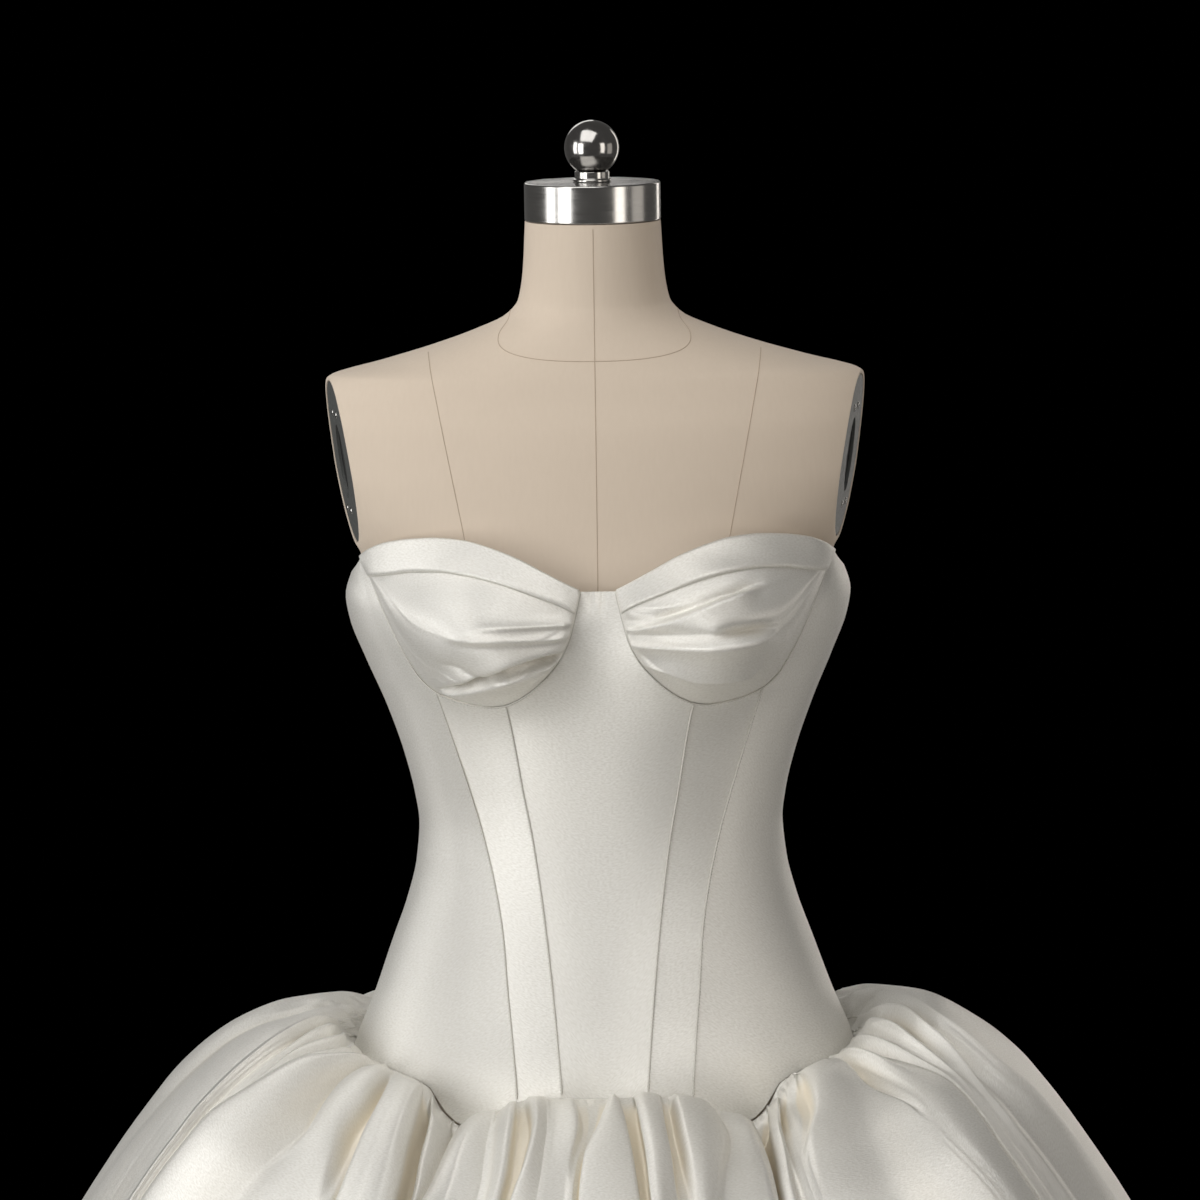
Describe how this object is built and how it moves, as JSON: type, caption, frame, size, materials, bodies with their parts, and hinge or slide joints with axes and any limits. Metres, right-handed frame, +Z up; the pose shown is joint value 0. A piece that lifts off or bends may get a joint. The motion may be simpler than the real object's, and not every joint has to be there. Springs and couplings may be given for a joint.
{
  "type": "ball gown on a dress form",
  "caption": "Strapless ivory satin ball gown with pleated sweetheart cups, a seamed bodice, a dropped waist and a full gathered skirt, worn by a linen dress form on a pole and base.",
  "frame": {"origin": "on the floor under the pole, at the centre of the base's underside", "axes": "+Z up, -Y the way the gown's front faces, +X towards the wearer's left"},
  "size_m": [1.4084, 1.4068, 1.5597],
  "materials": {
    "satin": "heavy ivory satin with a soft sheen",
    "linen": "plain beige linen",
    "steel": "brushed and polished",
    "dark_steel": "dark grey",
    "zip_enamel": "ivory enamel"
  },
  "bodies": {
    "gown_on_form": {"bodice_front": "satin", "bodice_front_side_left": "satin", "bodice_front_side_right": "satin", "bodice_side_left": "satin", "bodice_side_right": "satin", "bodice_back_side_left": "satin", "bodice_back_side_right": "satin", "bodice_back_left": "satin", "bodice_back_right": "satin", "cup_left": "satin", "cup_right": "satin", "neckline_band_left": "satin", "neckline_band_right": "satin", "skirt_front": "satin", "skirt_side_left": "satin", "skirt_side_right": "satin", "skirt_back_left": "satin", "skirt_back_right": "satin", "zip_slider": "zip_enamel", "form_torso": "linen", "form_neck_cap": "steel", "form_finial_stem": "steel", "form_finial_ball": "steel", "form_arm_plate_left": "dark_steel", "form_arm_plate_right": "dark_steel", "form_arm_screw_left_1": "steel", "form_arm_screw_left_2": "steel", "form_arm_screw_left_3": "steel", "form_arm_screw_left_4": "steel", "form_arm_screw_right_1": "steel", "form_arm_screw_right_2": "steel", "form_arm_screw_right_3": "steel", "form_arm_screw_right_4": "steel", "stand_pole": "steel", "stand_base": "dark_steel"},
    "zip_tab": {"zip_pull": "zip_enamel"}
  },
  "joints": [
    {"name": "zip_tab_swing", "type": "hinge", "parent": "gown_on_form", "child": "zip_tab", "pos_m": [0, 0.11205, 1.1988], "axis": [1, 0, 0], "range_deg": [0, 140]}
  ]
}
